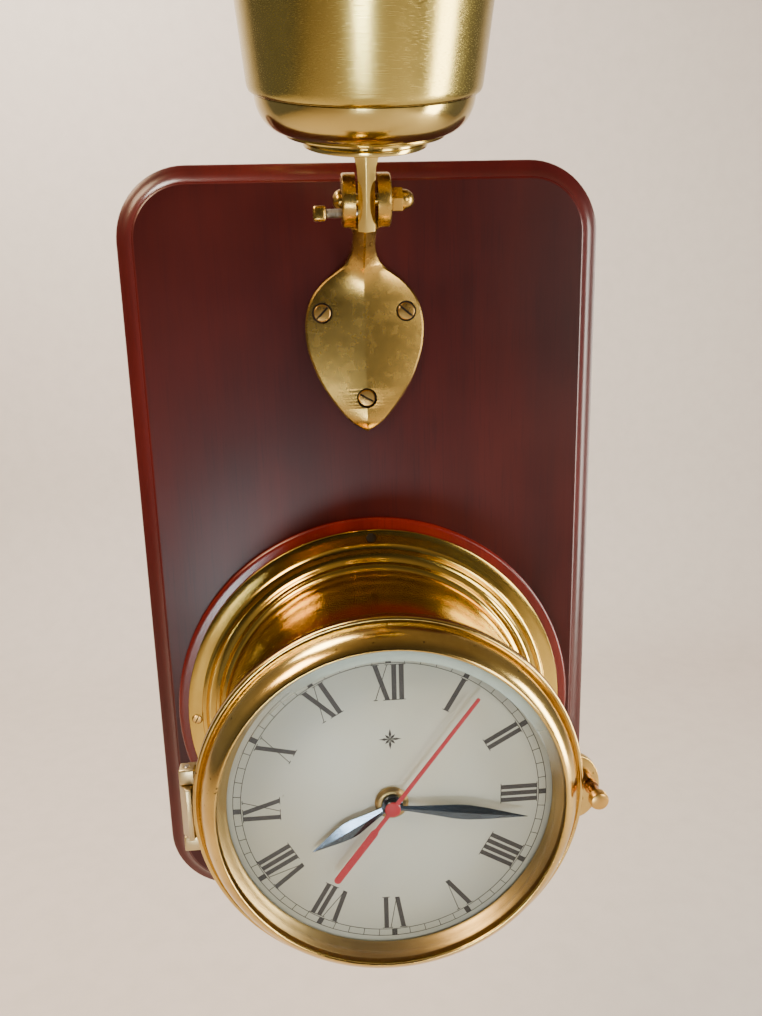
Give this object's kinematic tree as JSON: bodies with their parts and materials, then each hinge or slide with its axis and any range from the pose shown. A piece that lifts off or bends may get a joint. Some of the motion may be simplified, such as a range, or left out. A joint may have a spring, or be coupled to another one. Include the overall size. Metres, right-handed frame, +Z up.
{
  "type": "ships deck clock",
  "caption": "Round brass bulkhead clock with a hinged glazed bezel, Roman dial and sweep hand, on a mahogany wall board with a tilting brass lamp on a spade bracket.",
  "frame": {"origin": "on the back face of the board, on the axis of the clock's dial", "axes": "+X to the viewer's right, +Y into the wall so the clock faces -Y, +Z up the board"},
  "size_m": [0.215, 0.1268, 0.4483],
  "materials": {
    "mahogany": "polished dark mahogany",
    "pad_mahogany": "polished red mahogany",
    "hanger_steel": "zinc-plated",
    "case_brass": "polished, lightly tarnished",
    "bezel_brass": "polished with small dark specks",
    "ring_brass": "brown-gold, semi-matte",
    "screw_brass": "worn brass",
    "pin_steel": "dull steel",
    "silvered_dial": "silvered, satin, printed black",
    "black_hands": "black, semi-gloss",
    "red_hand": "red lacquer",
    "nut_brass": "brown brass",
    "clear_glass": "clear, bevelled edge",
    "black_plastic": "moulded",
    "white_plastic": "moulded acetal",
    "cell_wrap": "printed wrap, plain",
    "contact_steel": "sprung strip",
    "circuit_green": "solder mask",
    "copper_wire": "enamelled copper winding",
    "crystal_can": "drawn can",
    "magnet": "ground magnet",
    "bracket_brass": "cast, worn and polished",
    "lamp_brass": "polished",
    "brushed_lamp_brass": "brushed, greenish",
    "reflector_aluminium": "bright",
    "porcelain": "glazed white",
    "opal_glass": "opal"
  },
  "bodies": {
    "board_and_case": {"backboard": "mahogany", "clock_pad": "pad_mahogany", "hanger_plate_left": "hanger_steel", "hanger_plate_right": "hanger_steel", "hanger_screw_left_1": "hanger_steel", "hanger_screw_left_2": "hanger_steel", "hanger_screw_right_1": "hanger_steel", "hanger_screw_right_2": "hanger_steel", "clock_case": "case_brass", "flange_screw_left": "screw_brass", "flange_screw_right": "screw_brass", "flange_screw_bottom": "screw_brass", "dial_ring": "ring_brass", "dial": "silvered_dial", "case_hinge_leaf": "case_brass", "hinge_pin": "pin_steel", "case_latch_lug": "case_brass", "dial_nut": "nut_brass", "movement_housing": "black_plastic", "movement_cover": "black_plastic", "battery_cell": "cell_wrap", "battery_contact_negative": "contact_steel", "battery_contact_positive": "contact_steel", "circuit_board": "circuit_green", "quartz_crystal": "crystal_can", "stator": "contact_steel", "coil": "copper_wire", "lamp_bracket": "bracket_brass", "bracket_screw_left": "screw_brass", "bracket_screw_right": "screw_brass", "bracket_screw_lower": "screw_brass", "pivot_bolt": "bracket_brass", "pivot_nut": "bracket_brass"},
    "bezel": {"bezel_ring": "bezel_brass", "bezel_hinge_leaf": "bezel_brass", "front_glass": "clear_glass", "glass_retaining_ring": "ring_brass"},
    "thumb_screw_body": {"thumb_screw": "screw_brass"},
    "seconds": {"second_hand": "red_hand", "seconds_wheel": "white_plastic"},
    "step": {"step_wheel": "white_plastic"},
    "rotor_body": {"rotor": "magnet"},
    "third": {"third_wheel": "white_plastic"},
    "centre": {"centre_wheel": "white_plastic"},
    "minutes": {"minute_hand": "black_hands", "minute_tube": "white_plastic"},
    "motion": {"motion_wheel": "white_plastic"},
    "hours": {"hour_hand": "black_hands", "hour_wheel": "white_plastic"},
    "knob": {"setting_knob": "black_plastic"},
    "lamp": {"lamp_arm": "lamp_brass", "lamp_base": "lamp_brass", "cable_gland": "lamp_brass", "lamp_body": "brushed_lamp_brass", "lamp_holder": "porcelain", "bulb": "opal_glass", "reflector": "reflector_aluminium", "lamp_lens": "clear_glass", "lamp_rim": "lamp_brass"},
    "clamp": {"clamp_screw": "screw_brass"}
  },
  "joints": [
    {"name": "bezel_swing", "type": "hinge", "parent": "board_and_case", "child": "bezel", "pos_m": [-0.082, -0.095, 0], "axis": [0, 0, -1], "range_deg": [0, 110]},
    {"name": "thumb_screw_turn", "type": "hinge", "parent": "bezel", "child": "thumb_screw_body", "pos_m": [0.0833, -0.1, 0], "axis": [0, 1, 0], "continuous": true},
    {"name": "second_hand_turn", "type": "hinge", "parent": "board_and_case", "child": "seconds", "pos_m": [0, -0.1, 0], "axis": [0, 1, 0], "continuous": true},
    {"name": "step_wheel_turn", "type": "hinge", "parent": "board_and_case", "child": "step", "pos_m": [0, -0.1, 0.00875], "axis": [0, 1, 0], "continuous": true},
    {"name": "rotor_turn", "type": "hinge", "parent": "board_and_case", "child": "rotor_body", "pos_m": [0.00424, -0.1, 0.01299], "axis": [0, 1, 0], "continuous": true},
    {"name": "third_wheel_turn", "type": "hinge", "parent": "board_and_case", "child": "third", "pos_m": [0.009, -0.1, 0], "axis": [0, 1, 0], "continuous": true},
    {"name": "centre_wheel_turn", "type": "hinge", "parent": "board_and_case", "child": "centre", "pos_m": [0, -0.1, 0], "axis": [0, 1, 0], "continuous": true},
    {"name": "minute_hand_turn", "type": "hinge", "parent": "board_and_case", "child": "minutes", "pos_m": [0, -0.1, 0], "axis": [0, 1, 0], "continuous": true},
    {"name": "motion_wheel_turn", "type": "hinge", "parent": "board_and_case", "child": "motion", "pos_m": [-0.0096, -0.1, 0], "axis": [0, 1, 0], "continuous": true},
    {"name": "hour_hand_turn", "type": "hinge", "parent": "board_and_case", "child": "hours", "pos_m": [0, -0.1, 0], "axis": [0, 1, 0], "continuous": true},
    {"name": "setting_knob_turn", "type": "hinge", "parent": "board_and_case", "child": "knob", "pos_m": [-0.01602, -0.1, 0.00917], "axis": [0, 1, 0], "continuous": true},
    {"name": "lamp_tilt", "type": "hinge", "parent": "board_and_case", "child": "lamp", "pos_m": [0, -0.048, 0.237], "axis": [1, 0, 0], "range_deg": [-5, 60]},
    {"name": "clamp_screw_turn", "type": "hinge", "parent": "board_and_case", "child": "clamp", "pos_m": [-0.01, -0.0526, 0.2318], "axis": [1, 0, 0], "range_deg": [-30, 180]}
  ],
  "couplings": [
    {"joint": "step_wheel_turn", "follows": "second_hand_turn", "ratio": -6},
    {"joint": "rotor_turn", "follows": "second_hand_turn", "ratio": 30},
    {"joint": "third_wheel_turn", "follows": "second_hand_turn", "ratio": -0.13333},
    {"joint": "centre_wheel_turn", "follows": "second_hand_turn", "ratio": 0.016667},
    {"joint": "motion_wheel_turn", "follows": "minute_hand_turn", "ratio": -0.33333},
    {"joint": "hour_hand_turn", "follows": "minute_hand_turn", "ratio": 0.083333},
    {"joint": "setting_knob_turn", "follows": "minute_hand_turn", "ratio": 0.6}
  ]
}
